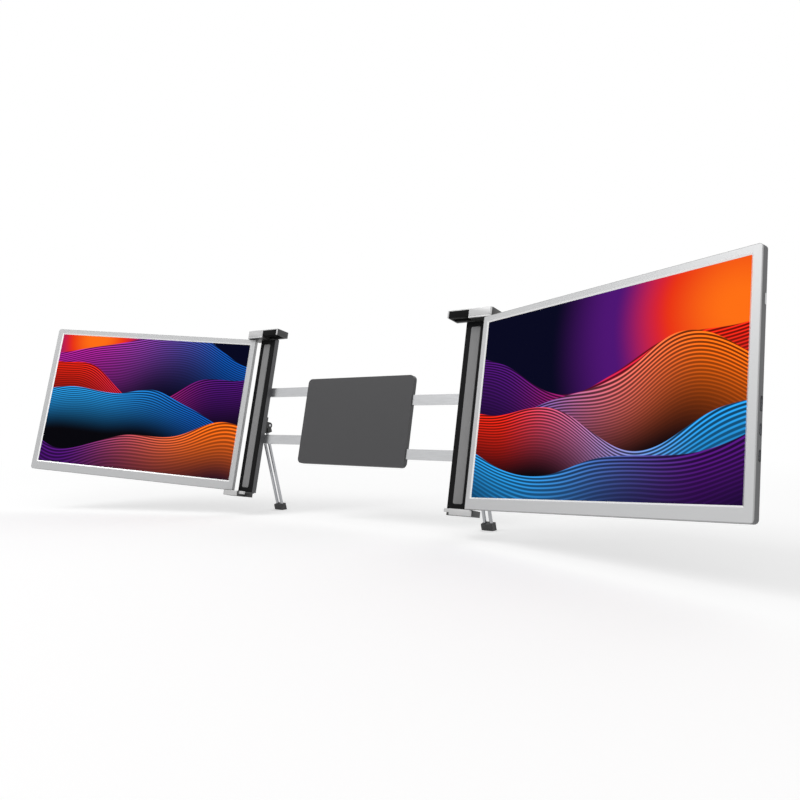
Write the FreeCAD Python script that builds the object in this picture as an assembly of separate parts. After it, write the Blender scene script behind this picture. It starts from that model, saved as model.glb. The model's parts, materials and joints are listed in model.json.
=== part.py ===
"""Clip-on screen extender for a laptop: two 14 inch monitors hinged on a frame that grips the laptop's lid.

Millimetres, +Z up. The origin lies on the plane of the lid pads, midway between the two
pillars, level with the lower edge of the displays.

Every piece of the frame is drawn upright in the pillar frame, with x to the user's right,
y away from the user and z up along the pillars. Every piece of a monitor is drawn in its own
frame, with the hinge axis as its z axis. The last step turns the monitors to their rest
angles and leans the whole frame back as far as the lid does.
"""
import FreeCAD
import Part

import math
import os

# Rest pose
LEAN = 12.4
RIGHT_WING = 19.0
LEFT_WING = 23.2
LEG_OPEN = 27.3

# Display and monitor case
DISPLAY_WIDTH = 301.6
DISPLAY_HEIGHT = 188.5
BEZEL_HINGE_SIDE = 8.0
BEZEL_OUTER_SIDE = 9.0
BEZEL_TOP = 7.5
BEZEL_BOTTOM = 12.5
CASE_DEPTH = 8.2
CASE_CORNER = 3.5
CASE_WALL = 1.4
CASE_BACK = 1.2
BACK_EDGE_ROUND = 1.8
BEZEL_THICKNESS = 1.0
BEZEL_FLANGE = 0.7
BEZEL_EDGE_ROUND = 0.4
BEZEL_CHAMFER = 1.5
PANEL_MARGIN = 1.5
PANEL_THICKNESS = 0.8
BACKLIGHT_THICKNESS = 1.6
PANEL_GAP = 0.1

# Hinge of each monitor
HINGE_FROM_PILLAR = 9.2
HINGE_FROM_EDGE = 4.0
HINGE_PIN_RADIUS = 1.0
HINGE_PIN_CLEARANCE = 0.04
SLEEVE_GAP = 0.1
HINGE_PIN_REACH = 22.0
RIGHT_AXIS_IN_CASE = 2.6
LEFT_AXIS_IN_CASE = 3.8
FOLD_GAP = 0.4
END_GAP = 0.4
BRACKET_HEIGHT = 19.0
BRACKET_FLANGE = 15.0
BRACKET_FLANGE_THICKNESS = 1.8
BRACKET_GAP = 0.1

# Ports and button on the outer side of each monitor
PORT_HEIGHTS = (55.0, 36.0)
HDMI_HEIGHT = 74.0
USB_C_LENGTH = 8.9
HDMI_LENGTH = 11.2
PORT_THICKNESS = 3.2
PORT_DEPTH = 7.0
PORT_FIT = 0.1
PORT_BEHIND_BACKLIGHT = 0.2
SOCKET_WALL = 0.3
SOCKET_FLOOR = 1.5
TONGUE_THICKNESS = 0.7
TONGUE_SETBACK = 1.0
USB_C_TONGUE = 6.4
HDMI_TONGUE = 8.4
BUTTON_HEIGHT = 153.0
BUTTON_LENGTH = 9.0
BUTTON_THICKNESS = 2.2
BUTTON_PROUD = 0.4
BUTTON_TRAVEL = 0.5
BUTTON_FIT = 0.15
BUTTON_LENGTH_INSIDE = 1.0
BUTTON_FLANGE = 0.4
BUTTON_FLANGE_GAP = 0.1

# Boards and speakers
BOARD_WIDTH = 46.0
BOARD_BELOW_PORTS = 8.0
BOARD_ABOVE_PORTS = 18.0
BOARD_THICKNESS = 1.0
BOARD_ARM_WIDTH = 9.0
BOARD_SCREW_INSET = 4.0
SWITCH_LENGTH = 6.0
SWITCH_WIDTH = 1.5
SWITCH_RIM = 0.5
SWITCH_GAP = 0.1
CHIP_SIZE = 11.0
CHIP_THICKNESS = 0.9
POST_RIM = 0.6
POST_GAP = 0.2
RIBBON_WIDTH = 14.0
RIBBON_THICKNESS = 0.2
RIBBON_LOW = 6.0
RIBBON_OVERLAP = 10.0
RIBBON_PLUG_LOW = 3.0
RIBBON_PLUG_HEIGHT = 6.0
RIBBON_PLUG_RIM = 1.0
SPEAKER_LENGTH = 36.0
SPEAKER_HEIGHT = 8.6
SPEAKER_GAP = 0.2
SPEAKER_BACK_GAP = 0.1
SPEAKER_PLACES = (62.0, 222.0)
GRILLE_SLOTS = 8
GRILLE_SLOT_WIDTH = 1.2
GRILLE_SLOT_LENGTH = 5.0

# Pillars
PILLAR_INNER = 154.8
PILLAR_WIDTH = 26.0
PILLAR_WALL = 1.5
PILLAR_BACK = 9.0
PANEL_FRONT = 0.8
PANEL_BACK = 2.2
PAD_WIDTH = 12.0
PAD_THICKNESS = 1.5
PAD_END_GAP = 6.0
PAD_CORNER = 2.0

# End caps that carry the monitors
CAP_FROM_PILLAR_INNER = 10.4
CAP_BEYOND_HINGE = 4.8
CAP_BEFORE_HINGE = 1.8
CAP_CORNER = 3.0
CAP_SHOULDER = 1.0
TOP_PLATE = 1.8
BOTTOM_CAP_HEIGHT = 6.5
BOTTOM_CAP_BACK = 4.0
PLUG_LENGTH = 10.0
PLUG_FIT = 0.05
BOTTOM_CAP_FROM_PILLAR_INNER = 12.2
CAP_SCREW_INSET = 4.0
PIN_FLOOR = 1.0
TAB_REACH = 8.8
TAB_HEIGHT = 3.7
TAB_THICKNESS = 3.5
LID_SLOT = 6.5

# Sprung top clamp
ARM_REACH = 28.0
CLAMP_HEIGHT = 8.6
CLAMP_BACK = 7.4
CLAMP_LIFT_GAP = 0.2
ARM_TOP_WALL = 1.1
ARM_END_WALL = 1.8
ARM_BACK_WALL = 3.0
RUBBER_RECESS = 0.2
LID_GROOVE = 2.5
MAST_WIDTH = 6.0
MAST_DEPTH = 3.0
MAST_FROM_WALL = 1.2
MAST_FROM_PANEL = 0.6
MAST_IN_PILLAR = 66.4
MAST_TENON = 4.0
MAST_LUG_WIDTH = 3.0
MAST_LUG_HEIGHT = 4.0
SPRING_LENGTH = 68.0
SPRING_POST_WIDTH = 5.0
SPRING_POST_DEPTH = 1.5
SPRING_POST_HEIGHT = 4.0
SPRING_RADIUS = 1.9
SPRING_WIRE = 0.7
SPRING_TURNS = 20
SPRING_FROM_MAST = 7.5

# Telescoping centre
HOUSING_HALF_WIDTH = 85.0
HOUSING_BEYOND_RAILS = 16.0
HOUSING_CORNER = 6.0
HOUSING_WALL = 1.5
BOSS_RADIUS = 2.6
BOSS_INSET = 3.0
BOSS_FROM_GUIDE = 8.0
RAIL_THICKNESS = 3.0
RAIL_HEIGHT = 12.0
RAIL_FIT = 0.1
RAIL_INNER_END = -10.0
RAIL_END_INSET = 1.0
LOWEST_RAIL = 46.0
RAIL_SPACING = 64.0
RAIL_PASSING_GAP = 2.0
GUIDE_LENGTH = 22.0
GUIDE_RIM = 2.0
GUIDE_END_WALL = 3.0

# Fold-out legs
LEG_BRACKET_HALF_HEIGHT = 10.0
LEG_BRACKET_ABOVE_RAIL = 4.0
LEG_AXIS_BACK = 16.0
LEG_LENGTH = 122.0
LEG_ROD_RADIUS = 2.1
LEG_ROD_PITCH = 8.2
LEG_PIN_RADIUS = 1.5
LEG_PIN_CLEARANCE = 0.05
LEG_BARREL_RADIUS = 3.8
LEG_BLOCK_INSET = 0.4
LEG_BLOCK_LENGTH = 10.0
LEG_EAR = 2.0
LEG_EAR_RADIUS = 4.0
LEG_SCREW_FROM_AXIS = 8.0
LEG_EAR_GAP = 0.15
LEG_BASE = 2.0
FOOT_WIDTH = 14.6
FOOT_DEPTH = 8.6
FOOT_HEIGHT = 8.6
FOOT_SOCKET = 5.0
FOOT_SPARE = 4.0

# Screws
SCREW_RADIUS = 0.9
SCREW_HEAD_RADIUS = 1.7
SCREW_HEAD = 0.8
SCREW_FIT = 0.02
SCREW_INTO_BACK = 0.6
SCREW_INTO_WALL = 0.9
RAIL_SCREW_SPREAD = 0.28

# Sizes that follow from the ones above
CASE_WIDTH = BEZEL_HINGE_SIDE + DISPLAY_WIDTH + BEZEL_OUTER_SIDE
CASE_LOW = -BEZEL_BOTTOM
CASE_HIGH = DISPLAY_HEIGHT + BEZEL_TOP
CASE_INNER_BACK = CASE_DEPTH - CASE_BACK
PANEL_FRONT_IN_CASE = BEZEL_THICKNESS + PANEL_GAP
BACKLIGHT_FRONT = PANEL_FRONT_IN_CASE + PANEL_THICKNESS
BACKLIGHT_BACK = BACKLIGHT_FRONT + BACKLIGHT_THICKNESS
PORT_FRONT = BACKLIGHT_BACK + PORT_BEHIND_BACKLIGHT
PORT_CENTRE = PORT_FRONT + PORT_THICKNESS / 2
BOARD_FRONT = PORT_CENTRE - BOARD_THICKNESS / 2
BOARD_BACK = BOARD_FRONT + BOARD_THICKNESS
BOARD_LOW = min(PORT_HEIGHTS) - BOARD_BELOW_PORTS
BOARD_HIGH = HDMI_HEIGHT + BOARD_ABOVE_PORTS
PILLAR_OUTER = PILLAR_INNER + PILLAR_WIDTH
PILLAR_CENTRE = (PILLAR_INNER + PILLAR_OUTER) / 2
HINGE_HALF_SPAN = PILLAR_OUTER + HINGE_FROM_PILLAR
CAP_INNER = PILLAR_INNER + CAP_FROM_PILLAR_INNER
CAP_OUTER = HINGE_HALF_SPAN + CAP_BEYOND_HINGE
BOTTOM_CAP_INNER = PILLAR_INNER + BOTTOM_CAP_FROM_PILLAR_INNER
CAP_LOW = CASE_LOW - END_GAP
CAP_HIGH = CASE_HIGH + END_GAP
LEFT_AXIS_Y = -FOLD_GAP - LEFT_AXIS_IN_CASE
RIGHT_AXIS_Y = LEFT_AXIS_Y - (CASE_DEPTH - LEFT_AXIS_IN_CASE) - FOLD_GAP - RIGHT_AXIS_IN_CASE
CAP_FRONT = RIGHT_AXIS_Y - CAP_BEFORE_HINGE
CLAMP_LOW = CAP_HIGH + TOP_PLATE + CLAMP_LIFT_GAP
CLAMP_HIGH = CLAMP_LOW + CLAMP_HEIGHT
MAST_BOTTOM = CAP_HIGH - MAST_IN_PILLAR
SPRING_BOTTOM = MAST_BOTTOM - SPRING_LENGTH
RAIL_BACK = PILLAR_BACK + RAIL_THICKNESS
HOUSING_FRONT = PILLAR_BACK - RAIL_FIT - HOUSING_WALL
HOUSING_SPLIT = RAIL_BACK + RAIL_FIT
RAIL_STAGGER = RAIL_HEIGHT + RAIL_PASSING_GAP
RIGHT_RAIL_HEIGHTS = (LOWEST_RAIL, LOWEST_RAIL + RAIL_SPACING)
LEFT_RAIL_HEIGHTS = (LOWEST_RAIL + RAIL_STAGGER, LOWEST_RAIL + RAIL_SPACING + RAIL_STAGGER)
HOUSING_LOW = RIGHT_RAIL_HEIGHTS[0] - HOUSING_BEYOND_RAILS
HOUSING_HIGH = LEFT_RAIL_HEIGHTS[1] + HOUSING_BEYOND_RAILS
LEG_AXIS_HEIGHT = LEFT_RAIL_HEIGHTS[0] + RAIL_HEIGHT / 2 + LEG_BRACKET_ABOVE_RAIL + LEG_BRACKET_HALF_HEIGHT
PAST = 1.0
BIG = 1000.0


def vec(x, y, z):
    return FreeCAD.Vector(x, y, z)


def box(x0, x1, y0, y1, z0, z1):
    return Part.makeBox(x1 - x0, y1 - y0, z1 - z0, vec(x0, y0, z0))


def rod(radius, start, end):
    along = end - start
    return Part.makeCylinder(radius, along.Length, start, along)


def plate(x0, x1, z0, z1, corner, y0, y1):
    """A slab with four round corners in the XZ plane, from y0 to y1."""
    short = corner * (1 - math.sqrt(0.5))
    corners = [(x1, z0, -1, 1), (x1, z1, -1, -1), (x0, z1, 1, -1), (x0, z0, 1, 1)]
    edges = []
    ends = []
    for index, (x, z, sx, sz) in enumerate(corners):
        along_x = vec(x + sx * corner, y0, z)
        along_z = vec(x, y0, z + sz * corner)
        middle = vec(x + sx * short, y0, z + sz * short)
        first, last = (along_x, along_z) if index % 2 == 0 else (along_z, along_x)
        ends.append((first, last))
        edges.append(Part.Arc(first, middle, last).toShape())
    for index, (first, last) in enumerate(ends):
        following = ends[(index + 1) % len(ends)][0]
        edges.append(Part.LineSegment(last, following).toShape())
    face = Part.Face(Part.Wire(Part.__sortEdges__(edges)))
    return face.extrude(vec(0, y1 - y0, 0))


def rectangle(x0, x1, z0, z1, y):
    points = [vec(x0, y, z0), vec(x1, y, z0), vec(x1, y, z1), vec(x0, y, z1), vec(x0, y, z0)]
    return Part.makePolygon(points)


def edges_on_plane(shape, y):
    return [e for e in shape.Edges if all(abs(v.Point.y - y) < 1e-6 for v in e.Vertexes)]


def screw(tip, head):
    """A pan-head screw whose shank runs from tip to the underside of its head."""
    along = (head - tip).normalize()
    shank = rod(SCREW_RADIUS, tip, head)
    return shank.fuse(rod(SCREW_HEAD_RADIUS, head, head + along * SCREW_HEAD)).removeSplitter()


def screw_hole(tip, head):
    return rod(SCREW_RADIUS + SCREW_FIT, tip, head)


def compound(solids):
    return Part.makeCompound(solids)


# Monitor, drawn right-handed about its hinge axis

def case_x(distance):
    """x in the hinge frame of a point at this distance from the case's hinge-side edge."""
    return distance - HINGE_FROM_EDGE


def bracket_spans():
    """Lower and upper z of the two hinge brackets inside a case."""
    low = CASE_LOW + CASE_CORNER
    high = CASE_HIGH - CASE_CORNER
    return ((low, low + BRACKET_HEIGHT), (high - BRACKET_HEIGHT, high))


def case_plate(inset, y0, y1):
    """A slab with the outline of a case: square on the hinge side, rounded on the outer side."""
    x0, x1 = case_x(inset), case_x(CASE_WIDTH - inset)
    z0, z1 = CASE_LOW + inset, CASE_HIGH - inset
    corner = CASE_CORNER - inset
    square = box(x0, x0 + corner + PAST, y0, y1, z0, z1)
    return plate(x0, x1, z0, z1, corner, y0, y1).fuse(square).removeSplitter()


def make_bezel_flange(front):
    """The part of the bezel that wraps round the hinge side of the case."""
    return box(case_x(0), case_x(BEZEL_FLANGE), front + BEZEL_THICKNESS, front + CASE_DEPTH - BACK_EDGE_ROUND,
               CASE_LOW, CASE_HIGH)


def make_bezel(front):
    back = front + BEZEL_THICKNESS
    blank = case_plate(0, front, back)
    blank = blank.makeFillet(BEZEL_EDGE_ROUND, edges_on_plane(blank, front))
    blank = blank.fuse(make_bezel_flange(front)).removeSplitter().cut(hinge_pin_holes())
    left, right = case_x(BEZEL_HINGE_SIDE), case_x(BEZEL_HINGE_SIDE + DISPLAY_WIDTH)
    wide = BEZEL_CHAMFER
    outer = rectangle(left - wide, right + wide, -wide, DISPLAY_HEIGHT + wide, front)
    inner = rectangle(left, right, 0, DISPLAY_HEIGHT, back)
    return blank.cut(Part.makeLoft([outer, inner], True, True))


def hinge_pin_holes():
    radius = HINGE_PIN_RADIUS + SLEEVE_GAP
    low = rod(radius, vec(0, 0, CASE_LOW - PAST), vec(0, 0, CASE_LOW + CASE_CORNER))
    high = rod(radius, vec(0, 0, CASE_HIGH - CASE_CORNER), vec(0, 0, CASE_HIGH + PAST))
    return [low, high]


def panel_span():
    left = case_x(BEZEL_HINGE_SIDE - PANEL_MARGIN)
    right = case_x(BEZEL_HINGE_SIDE + DISPLAY_WIDTH + PANEL_MARGIN)
    return left, right, -PANEL_MARGIN, DISPLAY_HEIGHT + PANEL_MARGIN


def make_panel(front):
    x0, x1, z0, z1 = panel_span()
    return box(x0, x1, front + PANEL_FRONT_IN_CASE, front + BACKLIGHT_FRONT, z0, z1)


def make_backlight(front):
    x0, x1, z0, z1 = panel_span()
    return box(x0, x1, front + BACKLIGHT_FRONT, front + BACKLIGHT_BACK, z0, z1)


def socket_ends():
    """x of the inner and outer ends of the port sockets."""
    outer = case_x(CASE_WIDTH - CASE_WALL) + CASE_WALL / 3
    return outer - PORT_DEPTH, outer


def slot_cutter(x0, x1, length, thickness, y, z, fit):
    """A round-ended bar along x, such as a socket or the hole that it looks out of."""
    radius = thickness / 2 + fit
    half = length / 2 - thickness / 2
    bar = box(x0, x1, y - radius, y + radius, z - half, z + half)
    low = rod(radius, vec(x0, y, z - half), vec(x1, y, z - half))
    high = rod(radius, vec(x0, y, z + half), vec(x1, y, z + half))
    return bar.fuse([low, high]).removeSplitter()


def make_tongue(y, height, length):
    """The tongue in the middle of a socket."""
    inner, outer = socket_ends()
    half = TONGUE_THICKNESS / 2
    return box(inner + SOCKET_FLOOR, outer - TONGUE_SETBACK, y - half, y + half,
               height - length / 2, height + length / 2)


def make_sockets(front):
    inner, outer = socket_ends()
    y = front + PORT_CENTRE
    sockets = []
    for height in PORT_HEIGHTS:
        shell = slot_cutter(inner, outer, USB_C_LENGTH, PORT_THICKNESS, y, height, 0)
        mouth = slot_cutter(inner + SOCKET_FLOOR, outer + PAST, USB_C_LENGTH - 2 * SOCKET_WALL,
                            PORT_THICKNESS - 2 * SOCKET_WALL, y, height, 0)
        tongue = make_tongue(y, height, USB_C_TONGUE)
        sockets.append(shell.cut(mouth).fuse(tongue).removeSplitter())
    half = HDMI_LENGTH / 2
    thick = PORT_THICKNESS / 2
    shell = box(inner, outer, y - thick, y + thick, HDMI_HEIGHT - half, HDMI_HEIGHT + half)
    wall = SOCKET_WALL
    mouth = box(inner + SOCKET_FLOOR, outer + PAST, y - thick + wall, y + thick - wall,
                HDMI_HEIGHT - half + wall, HDMI_HEIGHT + half - wall)
    sockets.append(shell.cut(mouth).fuse(make_tongue(y, HDMI_HEIGHT, HDMI_TONGUE)).removeSplitter())
    return compound(sockets)


def board_screw_places():
    inner, _ = socket_ends()
    x0 = inner - BOARD_WIDTH
    inset = BOARD_SCREW_INSET
    return [(x0 + inset, BOARD_LOW + inset), (x0 + inset, BOARD_HIGH - inset), (inner - inset, BOARD_HIGH - inset)]


def button_end():
    """x of the button's inner end, with the button out."""
    return case_x(CASE_WIDTH - CASE_WALL) - BUTTON_LENGTH_INSIDE


def make_board(front):
    inner, _ = socket_ends()
    y0, y1 = front + BOARD_FRONT, front + BOARD_BACK
    board = box(inner - BOARD_WIDTH, inner, y0, y1, BOARD_LOW, BOARD_HIGH)
    board = board.fuse(box(inner - BOARD_ARM_WIDTH, inner, y0, y1, BOARD_HIGH, BUTTON_HEIGHT + BUTTON_LENGTH / 2))
    switch_end = button_end() - BUTTON_TRAVEL - SWITCH_GAP
    switch = box(inner - SWITCH_WIDTH, switch_end, y0 - SWITCH_RIM, y1 + SWITCH_RIM,
                 BUTTON_HEIGHT - SWITCH_LENGTH / 2, BUTTON_HEIGHT + SWITCH_LENGTH / 2)
    chip_x = inner - BOARD_WIDTH / 2
    chip_z = (BOARD_LOW + BOARD_HIGH) / 2
    half = CHIP_SIZE / 2
    chip = box(chip_x - half, chip_x + half, y1, y1 + CHIP_THICKNESS, chip_z - half, chip_z + half)
    board = board.fuse([switch, chip]).removeSplitter()
    for x, z in board_screw_places():
        board = board.cut(screw_hole(vec(x, y0 - PAST, z), vec(x, y1 + PAST, z)))
    return board


def make_ribbon(front):
    inner, _ = socket_ends()
    x0 = inner - BOARD_WIDTH / 2 - RIBBON_WIDTH / 2
    x1 = x0 + RIBBON_WIDTH
    y0 = front + BACKLIGHT_BACK
    y1 = y0 + RIBBON_THICKNESS
    strip = box(x0, x1, y0, y1, RIBBON_LOW, BOARD_LOW + RIBBON_OVERLAP)
    plug_low = BOARD_LOW + RIBBON_PLUG_LOW
    plug = box(x0 - RIBBON_PLUG_RIM, x1 + RIBBON_PLUG_RIM, y1, front + BOARD_FRONT,
               plug_low, plug_low + RIBBON_PLUG_HEIGHT)
    return strip.fuse(plug).removeSplitter()


def speaker_span():
    low = CASE_LOW + CASE_WALL + SPEAKER_GAP
    return low, low + SPEAKER_HEIGHT


def make_speakers(front):
    z0, z1 = speaker_span()
    y0, y1 = front + PANEL_FRONT_IN_CASE + SPEAKER_GAP, front + CASE_INNER_BACK - SPEAKER_BACK_GAP
    return compound([box(case_x(x), case_x(x) + SPEAKER_LENGTH, y0, y1, z0, z1) for x in SPEAKER_PLACES])


def bracket_screw_places():
    places = []
    x = case_x(BEZEL_HINGE_SIDE) + BRACKET_FLANGE * 0.6
    for low, high in bracket_spans():
        places += [(x, low + BRACKET_HEIGHT * 0.25), (x, high - BRACKET_HEIGHT * 0.25)]
    return places


def bracket_flange_front():
    return CASE_INNER_BACK - BRACKET_FLANGE_THICKNESS


def make_brackets(front):
    block_x0 = case_x(CASE_WALL) + BRACKET_GAP
    block_x1 = case_x(BEZEL_HINGE_SIDE - PANEL_MARGIN) - BRACKET_GAP
    y0, y1 = front + PANEL_FRONT_IN_CASE, front + CASE_INNER_BACK
    brackets = []
    for low, high in bracket_spans():
        block = box(block_x0, block_x1, y0, y1, low, high)
        flange = box(block_x0, block_x1 + BRACKET_FLANGE, front + bracket_flange_front(), y1, low, high)
        body = block.fuse(flange).removeSplitter()
        bore = rod(HINGE_PIN_RADIUS + HINGE_PIN_CLEARANCE, vec(0, 0, low - PAST), vec(0, 0, high + PAST))
        body = body.cut(bore)
        for x, z in bracket_screw_places():
            body = body.cut(screw_hole(vec(x, y0, z), vec(x, y1 + PAST, z)))
        brackets.append(body)
    return compound(brackets)


def monitor_screw_lines(front):
    """Tip and head of each screw inside a case."""
    lines = []
    tip = front + CASE_INNER_BACK + CASE_BACK * SCREW_INTO_BACK
    for x, z in bracket_screw_places():
        lines.append((vec(x, tip, z), vec(x, front + bracket_flange_front(), z)))
    for x, z in board_screw_places():
        lines.append((vec(x, tip, z), vec(x, front + BOARD_FRONT, z)))
    return lines


def make_shell(front):
    x1 = case_x(CASE_WIDTH)
    y0, y1 = front + BEZEL_THICKNESS, front + CASE_DEPTH
    inner_back = front + CASE_INNER_BACK
    shell = case_plate(0, y0, y1)
    shell = shell.makeFillet(BACK_EDGE_ROUND, edges_on_plane(shell, y1))
    shell = shell.cut([case_plate(CASE_WALL, y0 - PAST, inner_back), make_bezel_flange(front)])
    for x, z in board_screw_places():
        shell = shell.fuse(rod(SCREW_HEAD_RADIUS + POST_RIM, vec(x, inner_back + POST_GAP, z),
                               vec(x, front + BOARD_BACK, z)))
    shell = shell.removeSplitter()
    for tip, head in monitor_screw_lines(front):
        shell = shell.cut(screw_hole(tip, head))
    y = front + PORT_CENTRE
    inside, outside = x1 - CASE_WALL - SCREW_FIT, x1 + PAST
    cutters = []
    for z in PORT_HEIGHTS:
        cutters.append(slot_cutter(inside, outside, USB_C_LENGTH, PORT_THICKNESS, y, z, PORT_FIT))
    half = HDMI_LENGTH / 2 + PORT_FIT
    thick = PORT_THICKNESS / 2 + PORT_FIT
    cutters.append(box(inside, outside, y - thick, y + thick, HDMI_HEIGHT - half, HDMI_HEIGHT + half))
    cutters.append(slot_cutter(inside, outside, BUTTON_LENGTH, BUTTON_THICKNESS, y, BUTTON_HEIGHT, BUTTON_FIT))
    cutters += hinge_pin_holes()
    z0, z1 = speaker_span()
    middle = (z0 + z1) / 2
    for place in SPEAKER_PLACES:
        pitch = SPEAKER_LENGTH / GRILLE_SLOTS
        for index in range(GRILLE_SLOTS):
            x = case_x(place) + pitch * (index + 0.5)
            cutters.append(box(x - GRILLE_SLOT_WIDTH / 2, x + GRILLE_SLOT_WIDTH / 2, inner_back - SCREW_FIT, y1 + PAST,
                               middle - GRILLE_SLOT_LENGTH / 2, middle + GRILLE_SLOT_LENGTH / 2))
    return shell.cut(cutters)


def make_button(front):
    y = front + PORT_CENTRE
    x1 = case_x(CASE_WIDTH) + BUTTON_PROUD
    wall_inside = case_x(CASE_WIDTH - CASE_WALL)
    cap = slot_cutter(button_end(), x1, BUTTON_LENGTH, BUTTON_THICKNESS, y, BUTTON_HEIGHT, 0)
    half_y = BUTTON_THICKNESS / 2 + BUTTON_FLANGE
    half_z = BUTTON_LENGTH / 2 + 2 * BUTTON_FLANGE
    flange = box(button_end(), wall_inside - BUTTON_FLANGE_GAP, y - half_y, y + half_y,
                 BUTTON_HEIGHT - half_z, BUTTON_HEIGHT + half_z)
    return cap.fuse(flange).removeSplitter()


def make_monitor(axis_in_case):
    """All pieces of one monitor about its hinge axis, which lies this far behind the case's front."""
    front = -axis_in_case
    return {
        "front_bezel": make_bezel(front),
        "lcd_panel": make_panel(front),
        "backlight_unit": make_backlight(front),
        "rear_shell": make_shell(front),
        "controller_board": make_board(front),
        "port_sockets": make_sockets(front),
        "panel_ribbon": make_ribbon(front),
        "speakers": make_speakers(front),
        "hinge_brackets": make_brackets(front),
        "monitor_screws": compound([screw(tip, head) for tip, head in monitor_screw_lines(front)]),
        "power_button": make_button(front),
    }


# Half of the frame, drawn on the user's right

def channel_inside():
    return PILLAR_INNER + PILLAR_WALL, PILLAR_OUTER - PILLAR_WALL, PANEL_BACK, PILLAR_BACK - PILLAR_WALL


def mast_centre():
    _, x1, y0, _ = channel_inside()
    return x1 - MAST_FROM_WALL - MAST_WIDTH / 2, y0 + MAST_FROM_PANEL + MAST_DEPTH / 2


def spring_centre():
    x, _ = mast_centre()
    _, _, y0, y1 = channel_inside()
    return x - SPRING_FROM_MAST, (y0 + y1) / 2


def cap_screw_heights():
    return CAP_LOW + PLUG_LENGTH / 2, CAP_HIGH - PLUG_LENGTH / 2


def frame_screw_lines(rail_heights):
    """Tip and head of each screw of a frame half, all driven from behind."""
    lines = []
    into_wall = PILLAR_BACK - PILLAR_WALL * SCREW_INTO_WALL
    spread = PILLAR_WIDTH * RAIL_SCREW_SPREAD
    for height in rail_heights:
        for x in (PILLAR_CENTRE - spread, PILLAR_CENTRE + spread):
            lines.append((vec(x, into_wall, height), vec(x, RAIL_BACK, height)))
    for height in (LEG_AXIS_HEIGHT - LEG_SCREW_FROM_AXIS, LEG_AXIS_HEIGHT + LEG_SCREW_FROM_AXIS):
        lines.append((vec(PILLAR_CENTRE, into_wall, height), vec(PILLAR_CENTRE, PILLAR_BACK + LEG_BASE, height)))
    inside, _, y0, y1 = channel_inside()
    for height in cap_screw_heights():
        x = inside + CAP_SCREW_INSET
        lines.append((vec(x, (y0 + y1) / 2, height), vec(x, PILLAR_BACK, height)))
    return lines


def make_channel(rail_heights):
    x0, x1, y0, y1 = channel_inside()
    channel = box(PILLAR_INNER, PILLAR_OUTER, PANEL_BACK, PILLAR_BACK, CAP_LOW, CAP_HIGH)
    channel = channel.cut(box(x0, x1, y0 - PAST, y1, CAP_LOW - PAST, CAP_HIGH + PAST))
    x, y = spring_centre()
    half = SPRING_POST_WIDTH / 2
    post = box(x - half, x + half, y - SPRING_POST_DEPTH, y1 + PLUG_FIT,
               SPRING_BOTTOM - SPRING_POST_HEIGHT, SPRING_BOTTOM)
    channel = channel.fuse(post).removeSplitter()
    for tip, head in frame_screw_lines(rail_heights):
        channel = channel.cut(screw_hole(tip, head))
    return channel


def pad_span():
    return CAP_LOW + PAD_END_GAP, CAP_HIGH - PAD_END_GAP


def make_front_panel():
    panel = box(PILLAR_INNER, PILLAR_OUTER, PANEL_FRONT, PANEL_BACK, CAP_LOW, CAP_HIGH)
    z0, z1 = pad_span()
    half = PAD_WIDTH / 2
    pocket = plate(PILLAR_CENTRE - half, PILLAR_CENTRE + half, z0, z1, PAD_CORNER,
                   PANEL_FRONT - PAST, PAD_THICKNESS)
    return panel.cut(pocket)


def make_lid_pad():
    z0, z1 = pad_span()
    half = PAD_WIDTH / 2
    return plate(PILLAR_CENTRE - half, PILLAR_CENTRE + half, z0, z1, PAD_CORNER, 0, PAD_THICKNESS)


def cap_outline(x0, y_back, z0, z1):
    """A block from x0 to the outer side of a cap, with its front outer corner rounded."""
    block = box(x0, CAP_OUTER, CAP_FRONT, y_back, z0, z1)
    corner = [e for e in block.Edges
              if all(abs(v.Point.x - CAP_OUTER) < 1e-6 and abs(v.Point.y - CAP_FRONT) < 1e-6 for v in e.Vertexes)]
    return block.makeFillet(CAP_CORNER, corner)


def make_plug(z0, z1):
    x0, x1, y0, y1 = channel_inside()
    return box(x0 + PLUG_FIT, x1 - PLUG_FIT, y0 + PLUG_FIT, y1 - PLUG_FIT, z0, z1)


def pin_line(axis_y, low, high):
    return vec(HINGE_HALF_SPAN, axis_y, low), vec(HINGE_HALF_SPAN, axis_y, high)


def make_top_cap(axis_y, rail_heights):
    z1 = CAP_HIGH + TOP_PLATE
    over_hinge = cap_outline(CAP_INNER, PILLAR_BACK, CAP_HIGH, z1)
    over_pillar = box(PILLAR_INNER, CAP_OUTER - CAP_SHOULDER, PANEL_FRONT, PILLAR_BACK, CAP_HIGH, z1)
    cap = over_hinge.fuse([over_pillar, make_plug(CAP_HIGH - PLUG_LENGTH, CAP_HIGH)]).removeSplitter()
    x, y = mast_centre()
    half_x, half_y = MAST_WIDTH / 2 + RAIL_FIT, MAST_DEPTH / 2 + RAIL_FIT
    cap = cap.cut(box(x - half_x, x + half_x, y - half_y, y + half_y, CAP_HIGH - BIG, z1 + PAST))
    cap = cap.cut(rod(HINGE_PIN_RADIUS + SCREW_FIT, *pin_line(axis_y, CAP_HIGH - PAST, z1 + PAST)))
    for tip, head in frame_screw_lines(rail_heights):
        cap = cap.cut(screw_hole(tip, head))
    return cap


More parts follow.
